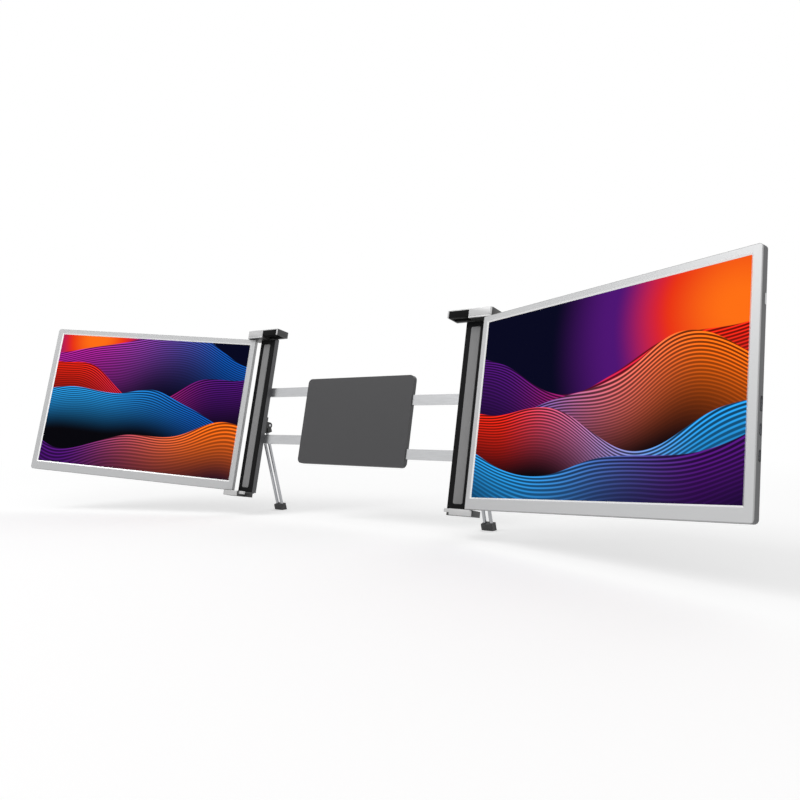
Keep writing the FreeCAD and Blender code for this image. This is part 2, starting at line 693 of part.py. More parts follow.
def make_bottom_cap(axis_y, rail_heights):
    z0 = CAP_LOW - BOTTOM_CAP_HEIGHT
    block = cap_outline(BOTTOM_CAP_INNER, BOTTOM_CAP_BACK, z0, CAP_LOW)
    under_pillar = box(PILLAR_INNER, CAP_OUTER - CAP_SHOULDER, PANEL_FRONT, BOTTOM_CAP_BACK, z0, CAP_LOW)
    tab = box(BOTTOM_CAP_INNER - TAB_REACH, BOTTOM_CAP_INNER + CAP_SHOULDER, -LID_SLOT - TAB_THICKNESS, -LID_SLOT,
              CAP_LOW - TAB_HEIGHT, CAP_LOW)
    plug = make_plug(CAP_LOW - PAST, CAP_LOW + PLUG_LENGTH)
    cap = block.fuse([under_pillar, plug, tab]).removeSplitter()
    cap = cap.cut(rod(HINGE_PIN_RADIUS + SCREW_FIT, *pin_line(axis_y, z0 + PIN_FLOOR, CAP_LOW + PAST)))
    for tip, head in frame_screw_lines(rail_heights):
        cap = cap.cut(screw_hole(tip, head))
    return cap


def make_hinge_pins(axis_y):
    low = rod(HINGE_PIN_RADIUS, *pin_line(axis_y, CAP_LOW - BOTTOM_CAP_HEIGHT + PIN_FLOOR, CAP_LOW + HINGE_PIN_REACH))
    high = rod(HINGE_PIN_RADIUS, *pin_line(axis_y, CAP_HIGH - HINGE_PIN_REACH, CAP_HIGH + TOP_PLATE))
    return compound([low, high])


def make_clamp_block():
    arm_end = CAP_INNER - ARM_REACH
    block = cap_outline(CAP_INNER, CLAMP_BACK, CLAMP_LOW, CLAMP_HIGH)
    arm = box(arm_end, CAP_INNER, CAP_FRONT, CLAMP_BACK, CLAMP_LOW, CLAMP_HIGH)
    arm = arm.cut(box(arm_end + ARM_END_WALL, CAP_INNER, CAP_FRONT - PAST, CLAMP_BACK - ARM_BACK_WALL,
                      CLAMP_LOW - PAST, CLAMP_HIGH - ARM_TOP_WALL))
    clamp = block.fuse(arm).removeSplitter()
    x, y = mast_centre()
    half_x, half_y = MAST_WIDTH / 2 + SCREW_FIT, MAST_DEPTH / 2 + SCREW_FIT
    return clamp.cut(box(x - half_x, x + half_x, y - half_y, y + half_y, CLAMP_LOW - PAST, CLAMP_LOW + MAST_TENON))


def make_clamp_pad():
    fit = SCREW_FIT
    x0 = CAP_INNER - ARM_REACH + ARM_END_WALL + fit
    pad = box(x0, CAP_INNER - fit, CAP_FRONT + RUBBER_RECESS, CLAMP_BACK - ARM_BACK_WALL - fit,
              CLAMP_LOW, CLAMP_HIGH - ARM_TOP_WALL - fit)
    return pad.cut(box(x0 - PAST, CAP_INNER, -LID_SLOT, 0, CLAMP_LOW - PAST, CLAMP_LOW + LID_GROOVE))


def make_mast():
    x, y = mast_centre()
    top = CLAMP_LOW + MAST_TENON
    half_x, half_y = MAST_WIDTH / 2, MAST_DEPTH / 2
    mast = box(x - half_x, x + half_x, y - half_y, y + half_y, MAST_BOTTOM, top)
    spring_x, spring_y = spring_centre()
    half = MAST_LUG_WIDTH / 2
    lug = box(spring_x - half, x, spring_y - half, spring_y + half, MAST_BOTTOM, MAST_BOTTOM + MAST_LUG_HEIGHT)
    return mast.fuse(lug).removeSplitter()


def make_spring():
    x, y = spring_centre()
    length = MAST_BOTTOM - SPRING_BOTTOM - SPRING_WIRE
    pitch = length / SPRING_TURNS
    helix = Part.makeHelix(pitch, length, SPRING_RADIUS)
    path = Part.Wire(helix.Edges)
    section = Part.Wire(Part.makeCircle(SPRING_WIRE / 2, vec(SPRING_RADIUS, 0, 0), vec(0, 1, 0)))
    coil = path.makePipeShell([section], True, True)
    coil.translate(vec(x, y, SPRING_BOTTOM + SPRING_WIRE / 2))
    return coil


def make_rails(rail_heights):
    rails = []
    half = RAIL_HEIGHT / 2
    for height in rail_heights:
        rails.append(box(RAIL_INNER_END, PILLAR_OUTER - RAIL_END_INSET, PILLAR_BACK, RAIL_BACK, height - half, height + half))
    for index, rail in enumerate(rails):
        for tip, head in frame_screw_lines(rail_heights):
            rail = rail.cut(screw_hole(tip, head))
        rails[index] = rail
    return compound(rails)


def ear_spans():
    """x spans of the two ears that hold a leg."""
    inner = PILLAR_INNER + LEG_EAR_GAP
    outer = PILLAR_OUTER - LEG_EAR_GAP
    return (inner, inner + LEG_EAR), (outer - LEG_EAR, outer)


def make_leg_bracket(rail_heights):
    (x0, x1), (x2, x3) = ear_spans()
    half = LEG_BRACKET_HALF_HEIGHT
    radius = LEG_EAR_RADIUS
    base = box(x0, x3, PILLAR_BACK, PILLAR_BACK + LEG_BASE, LEG_AXIS_HEIGHT - half, LEG_AXIS_HEIGHT + half)
    ears = []
    for a, b in ((x0, x1), (x2, x3)):
        ear = box(a, b, PILLAR_BACK, LEG_AXIS_BACK, LEG_AXIS_HEIGHT - radius, LEG_AXIS_HEIGHT + radius)
        nose = rod(radius, vec(a, LEG_AXIS_BACK, LEG_AXIS_HEIGHT), vec(b, LEG_AXIS_BACK, LEG_AXIS_HEIGHT))
        ears.append(ear.fuse(nose))
    bracket = base.fuse(ears).removeSplitter()
    bracket = bracket.cut(rod(LEG_PIN_RADIUS + SCREW_FIT, vec(x0 - PAST, LEG_AXIS_BACK, LEG_AXIS_HEIGHT),
                              vec(x3 + PAST, LEG_AXIS_BACK, LEG_AXIS_HEIGHT)))
    for tip, head in frame_screw_lines(rail_heights):
        bracket = bracket.cut(screw_hole(tip, head))
    return bracket


def make_leg_pin():
    (x0, _), (_, x3) = ear_spans()
    return rod(LEG_PIN_RADIUS, vec(x0, LEG_AXIS_BACK, LEG_AXIS_HEIGHT), vec(x3, LEG_AXIS_BACK, LEG_AXIS_HEIGHT))


def rod_ends():
    """Start and end distances of the leg rods below the leg's axis."""
    return LEG_BLOCK_LENGTH - FOOT_SOCKET, LEG_LENGTH - FOOT_HEIGHT + FOOT_SOCKET


def leg_rods(radius):
    start, end = rod_ends()
    rods = []
    for x in (PILLAR_CENTRE - LEG_ROD_PITCH / 2, PILLAR_CENTRE + LEG_ROD_PITCH / 2):
        rods.append(rod(radius, vec(x, LEG_AXIS_BACK, LEG_AXIS_HEIGHT - start),
                        vec(x, LEG_AXIS_BACK, LEG_AXIS_HEIGHT - end)))
    return rods


def make_leg_head():
    (_, x1), (x2, _) = ear_spans()
    x1 += LEG_EAR_GAP
    x2 -= LEG_EAR_GAP
    barrel = rod(LEG_BARREL_RADIUS, vec(x1, LEG_AXIS_BACK, LEG_AXIS_HEIGHT), vec(x2, LEG_AXIS_BACK, LEG_AXIS_HEIGHT))
    half = LEG_BARREL_RADIUS - LEG_BLOCK_INSET
    block = box(x1, x2, LEG_AXIS_BACK - half, LEG_AXIS_BACK + half,
                LEG_AXIS_HEIGHT - LEG_BLOCK_LENGTH, LEG_AXIS_HEIGHT)
    head = barrel.fuse(block).removeSplitter()
    head = head.cut(rod(LEG_PIN_RADIUS + LEG_PIN_CLEARANCE, vec(x1 - PAST, LEG_AXIS_BACK, LEG_AXIS_HEIGHT),
                        vec(x2 + PAST, LEG_AXIS_BACK, LEG_AXIS_HEIGHT)))
    return head.cut(leg_rods(LEG_ROD_RADIUS + SCREW_FIT))


def make_foot():
    half_x, half_y = FOOT_WIDTH / 2, FOOT_DEPTH / 2
    top = LEG_AXIS_HEIGHT - LEG_LENGTH + FOOT_HEIGHT
    foot = box(PILLAR_CENTRE - half_x, PILLAR_CENTRE + half_x, LEG_AXIS_BACK - half_y, LEG_AXIS_BACK + half_y,
               LEG_AXIS_HEIGHT - LEG_LENGTH - FOOT_SPARE, top)
    return foot.cut(leg_rods(LEG_ROD_RADIUS + SCREW_FIT))


def make_frame_half(axis_y, rail_heights):
    lines = frame_screw_lines(rail_heights)
    return {
        "pillar_channel": make_channel(rail_heights),
        "front_panel": make_front_panel(),
        "lid_pad": make_lid_pad(),
        "top_cap": make_top_cap(axis_y, rail_heights),
        "bottom_cap": make_bottom_cap(axis_y, rail_heights),
        "hinge_pins": make_hinge_pins(axis_y),
        "clamp_block": make_clamp_block(),
        "clamp_pad": make_clamp_pad(),
        "clamp_mast": make_mast(),
        "clamp_spring": make_spring(),
        "slide_rails": make_rails(rail_heights),
        "leg_bracket": make_leg_bracket(rail_heights),
        "leg_pin": make_leg_pin(),
        "frame_screws": compound([screw(tip, head) for tip, head in lines]),
    }


def make_leg():
    return {
        "leg_head": make_leg_head(),
        "leg_rods": compound(leg_rods(LEG_ROD_RADIUS)),
        "leg_foot": make_foot(),
    }


# Telescoping centre

def housing_screw_places():
    x = HOUSING_HALF_WIDTH - GUIDE_LENGTH - BOSS_FROM_GUIDE
    middle = (HOUSING_LOW + HOUSING_HIGH) / 2
    z0, z1 = HOUSING_LOW + HOUSING_WALL + BOSS_INSET, HOUSING_HIGH - HOUSING_WALL - BOSS_INSET
    return [(-x, z0), (x, z0), (-x, z1), (x, z1), (0, z0), (0, z1), (0, middle)]


def rail_cutter(sign, rail_heights, x0, x1, fit):
    """Bars that clear the rails of one side between x0 and x1, measured from the centre outwards."""
    bars = []
    half = RAIL_HEIGHT / 2 + fit
    for height in rail_heights:
        low, high = sorted((sign * x0, sign * x1))
        bars.append(box(low, high, PILLAR_BACK - fit, RAIL_BACK + fit, height - half, height + half))
    return bars


def both_rail_cutters(x0, x1, fit):
    right = rail_cutter(1, RIGHT_RAIL_HEIGHTS, x0, x1, fit)
    return right + rail_cutter(-1, LEFT_RAIL_HEIGHTS, x0, x1, fit)


def make_housing_front():
    half = HOUSING_HALF_WIDTH
    wall = HOUSING_WALL
    tray = plate(-half, half, HOUSING_LOW, HOUSING_HIGH, HOUSING_CORNER, HOUSING_FRONT, HOUSING_SPLIT)
    tray = tray.cut(plate(-half + wall, half - wall, HOUSING_LOW + wall, HOUSING_HIGH - wall,
                          HOUSING_CORNER - wall, HOUSING_FRONT + wall, HOUSING_SPLIT + PAST))
    floor = HOUSING_FRONT + wall / 2
    bosses = [rod(BOSS_RADIUS, vec(x, floor, z), vec(x, HOUSING_SPLIT, z)) for x, z in housing_screw_places()]
    tray = tray.fuse(bosses).removeSplitter()
    tray = tray.cut(both_rail_cutters(half - 2 * wall, half + PAST, RAIL_FIT))
    for tip, head in housing_screw_lines():
        tray = tray.cut(screw_hole(tip, head))
    return tray


def housing_screw_lines():
    tip = HOUSING_FRONT + HOUSING_WALL / 2
    head = HOUSING_SPLIT + HOUSING_WALL
    return [(vec(x, tip, z), vec(x, head, z)) for x, z in housing_screw_places()]


def make_housing_rear():
    half = HOUSING_HALF_WIDTH
    cover = plate(-half, half, HOUSING_LOW, HOUSING_HIGH, HOUSING_CORNER, HOUSING_SPLIT, HOUSING_SPLIT + HOUSING_WALL)
    for tip, head in housing_screw_lines():
        cover = cover.cut(screw_hole(tip, head))
    return cover


def make_rail_guides():
    guides = []
    end = HOUSING_HALF_WIDTH - HOUSING_WALL - PLUG_FIT
    start = end - GUIDE_LENGTH
    for sign, heights in ((1, RIGHT_RAIL_HEIGHTS), (-1, LEFT_RAIL_HEIGHTS)):
        low, high = sorted((sign * start, sign * end))
        margin = RAIL_HEIGHT / 2 + GUIDE_RIM
        block = box(low, high, HOUSING_FRONT + HOUSING_WALL + PLUG_FIT, HOUSING_SPLIT - PLUG_FIT,
                    heights[0] - margin, heights[-1] + margin)
        block = block.cut(rail_cutter(sign, heights, start - PAST, end + PAST, RAIL_FIT / 2))
        window_low, window_high = heights[0] + margin, heights[-1] - margin
        block = block.cut(box(low + GUIDE_END_WALL, high - GUIDE_END_WALL, HOUSING_FRONT, HOUSING_SPLIT + PAST,
                              window_low, window_high))
        guides.append(block)
    return compound(guides)


def make_centre():
    return {
        "centre_housing_front": make_housing_front(),
        "centre_housing_rear": make_housing_rear(),
        "rail_guides": make_rail_guides(),
        "housing_screws": compound([screw(tip, head) for tip, head in housing_screw_lines()]),
    }


# Assembly

def turned(shape, centre, axis, degrees):
    placed = shape.copy()
    placed.rotate(centre, axis, degrees)
    return placed


def mirrored(shape):
    return shape.mirror(vec(0, 0, 0), vec(1, 0, 0))


def build_side(name, axis_in_case, axis_y, wing, rail_heights):
    """Every piece of one side in the pillar frame, drawn on the right and mirrored for the left."""
    pieces = dict(make_frame_half(axis_y, rail_heights))
    for key, shape in make_leg().items():
        pieces[key] = turned(shape, vec(0, LEG_AXIS_BACK, LEG_AXIS_HEIGHT), vec(1, 0, 0), LEG_OPEN)
    for key, shape in make_monitor(axis_in_case).items():
        placed = turned(shape, vec(0, 0, 0), vec(0, 0, 1), -wing)
        placed.translate(vec(HINGE_HALF_SPAN, axis_y, 0))
        pieces[key] = placed
    if name == "left":
        pieces = {key: mirrored(shape) for key, shape in pieces.items()}
    return {name + "_" + key: shape for key, shape in pieces.items()}


def build():
    pieces = make_centre()
    pieces.update(build_side("right", RIGHT_AXIS_IN_CASE, RIGHT_AXIS_Y, RIGHT_WING, RIGHT_RAIL_HEIGHTS))
    pieces.update(build_side("left", LEFT_AXIS_IN_CASE, LEFT_AXIS_Y, LEFT_WING, LEFT_RAIL_HEIGHTS))
    leaning = {key: turned(shape, vec(0, 0, 0), vec(1, 0, 0), -LEAN) for key, shape in pieces.items()}
    tip = turned(Part.Vertex(0, LEG_AXIS_BACK, LEG_AXIS_HEIGHT - LEG_LENGTH),
                 vec(0, LEG_AXIS_BACK, LEG_AXIS_HEIGHT), vec(1, 0, 0), LEG_OPEN)
    desk = turned(tip, vec(0, 0, 0), vec(1, 0, 0), -LEAN).Point.z
    below = box(-BIG, BIG, -BIG, BIG, desk - BIG, desk)
    for side in ("left", "right"):
        leaning[side + "_leg_foot"] = leaning[side + "_leg_foot"].cut(below)
    return leaning


def main():
    os.makedirs("parts", exist_ok=True)
    for name, shape in build().items():
        shape.exportStep("parts/" + name + ".step")


main()
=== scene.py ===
"""Looks of a clip-on screen extender: two hinged side monitors on a telescoping frame."""
import math

import bmesh
import bpy
from mathutils import Euler, Matrix, Vector
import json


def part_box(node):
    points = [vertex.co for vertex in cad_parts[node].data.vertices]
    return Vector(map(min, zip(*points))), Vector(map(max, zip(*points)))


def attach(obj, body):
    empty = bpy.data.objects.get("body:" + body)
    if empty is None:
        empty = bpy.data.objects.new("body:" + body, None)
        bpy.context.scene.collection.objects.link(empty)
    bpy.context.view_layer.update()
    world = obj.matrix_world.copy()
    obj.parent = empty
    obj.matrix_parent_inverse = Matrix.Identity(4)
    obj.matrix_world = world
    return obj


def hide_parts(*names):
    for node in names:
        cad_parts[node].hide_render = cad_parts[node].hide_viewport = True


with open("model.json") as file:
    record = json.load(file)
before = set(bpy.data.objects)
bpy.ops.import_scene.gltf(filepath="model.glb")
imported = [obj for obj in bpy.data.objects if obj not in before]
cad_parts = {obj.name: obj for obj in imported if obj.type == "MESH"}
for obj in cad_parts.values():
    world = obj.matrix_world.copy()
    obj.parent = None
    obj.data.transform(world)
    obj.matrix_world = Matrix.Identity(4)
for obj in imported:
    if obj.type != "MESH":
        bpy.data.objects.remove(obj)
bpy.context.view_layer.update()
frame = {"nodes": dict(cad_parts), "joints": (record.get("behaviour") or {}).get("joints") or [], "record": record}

NODES = frame["nodes"]
RECORD = frame["record"]
JOINTS = {joint["name"]: joint for joint in frame["joints"]}
BODY_OF = {node: body for body, members in RECORD["behaviour"]["bodies"].items() for node in members}
SLOT_OF = {part["node"]: part["material_slot"] for part in RECORD["subparts"]}
SIDES = ("left", "right")
MM = 0.001

# Rest pose of the monitors, in degrees
LEAN = 12.4
WING = {"left": 23.2, "right": 19.0}

# Display and case of a monitor
DISPLAY_WIDTH = 301.6 * MM
DISPLAY_HEIGHT = 188.5 * MM
HINGE_TO_DISPLAY = 4.0 * MM
AXIS_IN_CASE = {"left": 3.8 * MM, "right": 2.6 * MM}
BEZEL_THICKNESS = 1.0 * MM
BEZEL_CHAMFER = 1.5 * MM
FILM_THICKNESS = 0.06 * MM

# Outline of a bezel, from its display's lower left corner, and the dark line inside it
RIM_CENTRE = {"left": 150.3 * MM, "right": 151.3 * MM}
RIM_CENTRE_UP = 91.75 * MM
RIM_HALF_WIDTH = 159.3 * MM
RIM_HALF_HEIGHT = 104.25 * MM
RIM_INNER = 0.75 * MM
RIM_OUTER = 0.55 * MM
RIM_STRENGTH = 0.55

# Caps of the pillars: silver at the front, with the sides back from it painted dark as shade
CAP_FRONT = -13.4 * MM
SILVER_DEPTH = 1.0 * MM
SILVER_FADE = 0.15 * MM
TAB_ROOT = 166.9 * MM

# Camera
CAMERA_PLACE = (0.6144, -0.6879, 0.0953)
CAMERA_TURN = (90.657, 0.627, 37.234)
FOCAL_PIXELS = 766.3
IMAGE_PIXELS = 800.0
SENSOR_WIDTH = 36.0

# Studio light
AMBIENT = 0.42
FLOOR_GLOW = 0.42
FLOOR_SIZE = 30.0
FLOOR_DROP = 0.2 * MM
FADE_START = 0.55
FADE_END = 1.5
AIM = (0.0, 0.0, 0.1)


# Shader helpers

class Recipe:
    """Node-building helper for one material or node group."""

    def __init__(self, tree):
        self.tree = tree
        self.nodes = tree.nodes
        self.links = tree.links

    def add(self, kind, **settings):
        node = self.nodes.new(kind)
        for key, value in settings.items():
            setattr(node, key, value)
        return node

    def feed(self, socket, value):
        if isinstance(value, bpy.types.NodeSocket):
            self.links.new(value, socket)
        else:
            socket.default_value = value

    def math(self, operation, *values, clamp=False):
        node = self.add("ShaderNodeMath", operation=operation, use_clamp=clamp)
        for socket, value in zip(node.inputs, values):
            self.feed(socket, value)
        return node.outputs[0]

    def between(self, value, low, high, start=0.0, end=1.0, smooth=False):
        """value carried from low..high to start..end, held at both ends."""
        node = self.add("ShaderNodeMapRange", clamp=True)
        node.interpolation_type = "SMOOTHSTEP" if smooth else "LINEAR"
        for socket, item in zip(node.inputs, (value, low, high, start, end)):
            self.feed(socket, item)
        return node.outputs[0]

    def mix(self, factor, first, second):
        node = self.add("ShaderNodeMix", data_type="RGBA")
        self.feed(node.inputs[0], factor)
        self.feed(node.inputs[6], first)
        self.feed(node.inputs[7], second)
        return node.outputs[2]

    def noise(self, vector, scale, detail=3.0, roughness=0.5):
        node = self.add("ShaderNodeTexNoise")
        self.feed(node.inputs["Vector"], vector)
        node.inputs["Scale"].default_value = scale
        node.inputs["Detail"].default_value = detail
        node.inputs["Roughness"].default_value = roughness
        return node.outputs["Fac"]

    def bump(self, height, strength, distance, normal=None):
        node = self.add("ShaderNodeBump")
        node.inputs["Strength"].default_value = strength
        node.inputs["Distance"].default_value = distance
        self.feed(node.inputs["Height"], height)
        if normal is not None:
            self.feed(node.inputs["Normal"], normal)
        return node.outputs[0]


def rgba(colour):
    return (colour[0], colour[1], colour[2], 1.0)


def grey(value):
    return (value, value, value, 1.0)


def new_group(name, inputs, outputs):
    """A shader node group with named sockets, and its recipe, input node and output node."""
    tree = bpy.data.node_groups.new(name, "ShaderNodeTree")
    for label, kind, value in inputs:
        socket = tree.interface.new_socket(label, in_out="INPUT", socket_type=kind)
        if value is not None:
            socket.default_value = value
    for label, kind in outputs:
        tree.interface.new_socket(label, in_out="OUTPUT", socket_type=kind)
    recipe = Recipe(tree)
    return tree, recipe, recipe.add("NodeGroupInput"), recipe.add("NodeGroupOutput")


def use_group(recipe, tree, **values):
    node = recipe.add("ShaderNodeGroup", node_tree=tree)
    for label, value in values.items():
        recipe.feed(node.inputs[label.replace("_", " ")], value)
    return node


FLOAT = "NodeSocketFloat"
COLOUR = "NodeSocketColor"
VECTOR = "NodeSocketVector"
FINE_SHARE = 0.55


def build_grain_group():
    """Fine speckle of a blasted, moulded or rubbery surface, with broad unevenness below it."""
    tree, recipe, given, result = new_group(
        "surface grain",
        [("Place", VECTOR, None), ("Colour", COLOUR, grey(0.5)), ("Roughness", FLOAT, 0.5),
         ("Scale", FLOAT, 2500.0), ("Mottle", FLOAT, 0.06), ("Relief", FLOAT, 0.1)],
        [("Colour", COLOUR), ("Roughness", FLOAT), ("Normal", VECTOR)],
    )
    fine = recipe.add("ShaderNodeTexNoise")
    recipe.links.new(given.outputs["Place"], fine.inputs["Vector"])
    recipe.links.new(given.outputs["Scale"], fine.inputs["Scale"])
    fine.inputs["Detail"].default_value = 2.0
    broad = recipe.noise(given.outputs["Place"], 28.0, 4.0, 0.6)
    fine_part = recipe.math("MULTIPLY", fine.outputs["Fac"], FINE_SHARE)
    patch = recipe.math("ADD", fine_part, recipe.math("MULTIPLY", broad, 1.0 - FINE_SHARE))
    shift = recipe.math("MULTIPLY", recipe.math("SUBTRACT", patch, 0.5), given.outputs["Mottle"])
    gain = recipe.math("ADD", 1.0, recipe.math("MULTIPLY", shift, 4.0))
    scaled = recipe.add("ShaderNodeVectorMath", operation="SCALE")
    recipe.links.new(given.outputs["Colour"], scaled.inputs[0])
    recipe.links.new(gain, scaled.inputs["Scale"])
    recipe.links.new(scaled.outputs[0], result.inputs["Colour"])
    rough = recipe.math("ADD", given.outputs["Roughness"], recipe.math("MULTIPLY", shift, 2.5), clamp=True)
    recipe.links.new(rough, result.inputs["Roughness"])
    relief = recipe.add("ShaderNodeBump")
    relief.inputs["Distance"].default_value = 0.05 * MM
    recipe.links.new(given.outputs["Relief"], relief.inputs["Strength"])
    recipe.links.new(fine.outputs["Fac"], relief.inputs["Height"])
    recipe.links.new(relief.outputs[0], result.inputs["Normal"])
    return tree


def build_brush_group():
    """Long fine scratches along one axis, as on drawn or brushed metal."""
    tree, recipe, given, result = new_group(
        "brushed lines",
        [("Place", VECTOR, None), ("Colour", COLOUR, grey(0.5)), ("Roughness", FLOAT, 0.3),
         ("Stretch", VECTOR, (1.0, 1.0, 1.0)), ("Contrast", FLOAT, 0.1)],
        [("Colour", COLOUR), ("Roughness", FLOAT), ("Normal", VECTOR)],
    )
    stretched = recipe.add("ShaderNodeVectorMath", operation="MULTIPLY")
    recipe.links.new(given.outputs["Place"], stretched.inputs[0])
    recipe.links.new(given.outputs["Stretch"], stretched.inputs[1])
    lines = recipe.noise(stretched.outputs[0], 1.0, 3.0, 0.7)
    shift = recipe.math("MULTIPLY", recipe.math("SUBTRACT", lines, 0.5), given.outputs["Contrast"])
    scaled = recipe.add("ShaderNodeVectorMath", operation="SCALE")
    recipe.links.new(given.outputs["Colour"], scaled.inputs[0])
    recipe.links.new(recipe.math("ADD", 1.0, recipe.math("MULTIPLY", shift, 3.0)), scaled.inputs["Scale"])
    recipe.links.new(scaled.outputs[0], result.inputs["Colour"])
    rough = recipe.math("ADD", given.outputs["Roughness"], shift, clamp=True)
    recipe.links.new(rough, result.inputs["Roughness"])
    recipe.links.new(recipe.bump(lines, 0.15, 0.02 * MM), result.inputs["Normal"])
    return tree


GRAIN = build_grain_group()
BRUSH = build_brush_group()


def new_material(name):
    material = bpy.data.materials.new(name)
    material.use_nodes = True
    recipe = Recipe(material.node_tree)
    recipe.nodes.clear()
    shader = recipe.add("ShaderNodeBsdfPrincipled")
    output = recipe.add("ShaderNodeOutputMaterial")
    recipe.links.new(shader.outputs[0], output.inputs[0])
    place = recipe.add("ShaderNodeTexCoord").outputs["Object"]
    return material, recipe, shader, place


def wear(recipe, surface, shader):
    """Colour, roughness and relief of a surface group, on the shader."""
    recipe.links.new(surface.outputs["Colour"], shader.inputs["Base Color"])
    recipe.links.new(surface.outputs["Roughness"], shader.inputs["Roughness"])
    recipe.links.new(surface.outputs["Normal"], shader.inputs["Normal"])


def grained(name, colour, roughness, metallic=0.0, scale=2500.0, mottle=0.05, relief=0.12, specular=0.5):
    """A material with fine grain: blasted metal, moulded plastic or rubber."""
    material, recipe, shader, place = new_material(name)
    grain = use_group(recipe, GRAIN, Place=place, Colour=rgba(colour), Roughness=roughness, Scale=scale,
                      Mottle=mottle, Relief=relief)
    wear(recipe, grain, shader)
    shader.inputs["Metallic"].default_value = metallic
    shader.inputs["Specular IOR Level"].default_value = specular
    return material


def brushed(name, colour, roughness, stretch, contrast=0.12):
    """Drawn or brushed metal, with its lines along the axis that the stretch leaves longest."""
    material, recipe, shader, place = new_material(name)
    lines = use_group(recipe, BRUSH, Place=place, Colour=rgba(colour), Roughness=roughness, Stretch=stretch,
                      Contrast=contrast)
    wear(recipe, lines, shader)
    shader.inputs["Metallic"].default_value = 1.0
    return material


# Frames of the object

LEAN_BACK = Matrix.Rotation(math.radians(-LEAN), 4, "X")


def hinge_in_pillar_frame(side):
    place = Vector(JOINTS[side + "_monitor_hinge"]["pos_m"])
    point = LEAN_BACK.inverted() @ place
    return Vector((point.x, point.y, 0.0))


def display_frame(side):
    """Frame at a display's lower left corner on the case's front: x to the right, y into the case, z up."""
    hinge = Matrix.Translation(hinge_in_pillar_frame(side))
    if side == "right":
        turn = Matrix.Rotation(math.radians(-WING[side]), 4, "Z")
        corner = Vector((HINGE_TO_DISPLAY, -AXIS_IN_CASE[side], 0.0))
    else:
        turn = Matrix.Rotation(math.radians(WING[side]), 4, "Z")
        corner = Vector((-HINGE_TO_DISPLAY - DISPLAY_WIDTH, -AXIS_IN_CASE[side], 0.0))
    return LEAN_BACK @ hinge @ turn @ Matrix.Translation(corner)


def in_display_frame(recipe, place, side):
    """The shading point in the display frame of one side."""
    matrix = display_frame(side)
    node = recipe.add("ShaderNodeMapping", vector_type="TEXTURE")
    recipe.feed(node.inputs["Vector"], place)
    node.inputs["Location"].default_value = matrix.to_translation()
    node.inputs["Rotation"].default_value = matrix.to_euler("XYZ")
    split = recipe.add("ShaderNodeSeparateXYZ")
    recipe.links.new(node.outputs[0], split.inputs[0])
    return split.outputs


# Meshes

def finished(name, mesh, material, body, sharp=35.0):
    """A piece with smooth faces and sharp edges that rides on a body."""
    for polygon in mesh.polygons:
        polygon.use_smooth = True
    mesh.set_sharp_from_angle(angle=math.radians(sharp))
    mesh.materials.clear()
    mesh.materials.append(material)
    piece = bpy.data.objects.new(name, mesh)
    bpy.context.scene.collection.objects.link(piece)
    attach(piece, body)
    return piece


def baked(mesh, *modifiers):
    """The mesh after these modifiers, each given as a kind and its settings."""
    carrier = bpy.data.objects.new("carrier", mesh)
    bpy.context.scene.collection.objects.link(carrier)
    for kind, settings in modifiers:
        modifier = carrier.modifiers.new(kind.lower(), kind)
        for key, value in settings.items():
            setattr(modifier, key, value)
    graph = bpy.context.evaluated_depsgraph_get()
    result = bpy.data.meshes.new_from_object(carrier.evaluated_get(graph))
    bpy.data.objects.remove(carrier)
    return result


def merged_copy(node):
    mesh = NODES[node].data.copy()
    model = bmesh.new()
    model.from_mesh(mesh)
    bmesh.ops.remove_doubles(model, verts=model.verts, dist=0.002 * MM)
    bmesh.ops.dissolve_limit(model, angle_limit=math.radians(0.6), verts=model.verts, edges=model.edges)
    model.to_mesh(mesh)
    model.free()
    return mesh


def softened(node, width, material, segments=3, corner=38.0):
    """A copy of a solid with its edges rounded, in the solid's place."""
    rounding = {
        "width": width,
        "segments": segments,
        "limit_method": "ANGLE",
        "angle_limit": math.radians(corner),
    }
    mesh = baked(merged_copy(node), ("BEVEL", rounding))
    piece = finished(node + "_rounded", mesh, material, BODY_OF[node])
    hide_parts(node)
    return piece


def make_display_film(side, material):
    """The lit area of a display, as a thin film on its panel with its own UV map."""
    matrix = display_frame(side)
    ring = [(0, 0), (DISPLAY_WIDTH, 0), (DISPLAY_WIDTH, DISPLAY_HEIGHT), (0, DISPLAY_HEIGHT)]
    model = bmesh.new()
    front, back = (
        [model.verts.new(matrix @ Vector((x, depth, z))) for x, z in ring]
        for depth in (BEZEL_THICKNESS, BEZEL_THICKNESS + FILM_THICKNESS)
    )
    model.faces.new(front)
    model.faces.new(list(reversed(back)))
    for index in range(len(ring)):
        following = (index + 1) % len(ring)
        model.faces.new([front[index], back[index], back[following], front[following]])
    bmesh.ops.recalc_face_normals(model, faces=model.faces)
    layer = model.loops.layers.uv.new("picture")
    inverse = matrix.inverted()
    for face in model.faces:
        for loop in face.loops:
            local = inverse @ loop.vert.co
            loop[layer].uv = (local.x / DISPLAY_WIDTH, local.z / DISPLAY_HEIGHT)
    mesh = bpy.data.meshes.new(side + "_display_film")
    model.to_mesh(mesh)
    model.free()
    return finished(side + "_display_film", mesh, material, side + "_monitor")


# Picture on the displays: layered waves of colour

WAVE_INPUTS = [
    ("Across", FLOAT, 0.0), ("Up", FLOAT, 0.0), ("Behind", COLOUR, grey(0.0)), ("Level", FLOAT, 0.5),
    ("Swell", FLOAT, 0.1), ("Pitch", FLOAT, 5.0), ("Phase", FLOAT, 0.0), ("Depth", FLOAT, 0.3),
    ("Crest left", COLOUR, grey(1.0)), ("Crest right", COLOUR, grey(1.0)), ("Trough", COLOUR, grey(0.0)),
    ("Ridges", FLOAT, 120.0), ("Ridge light", FLOAT, 0.5),
]


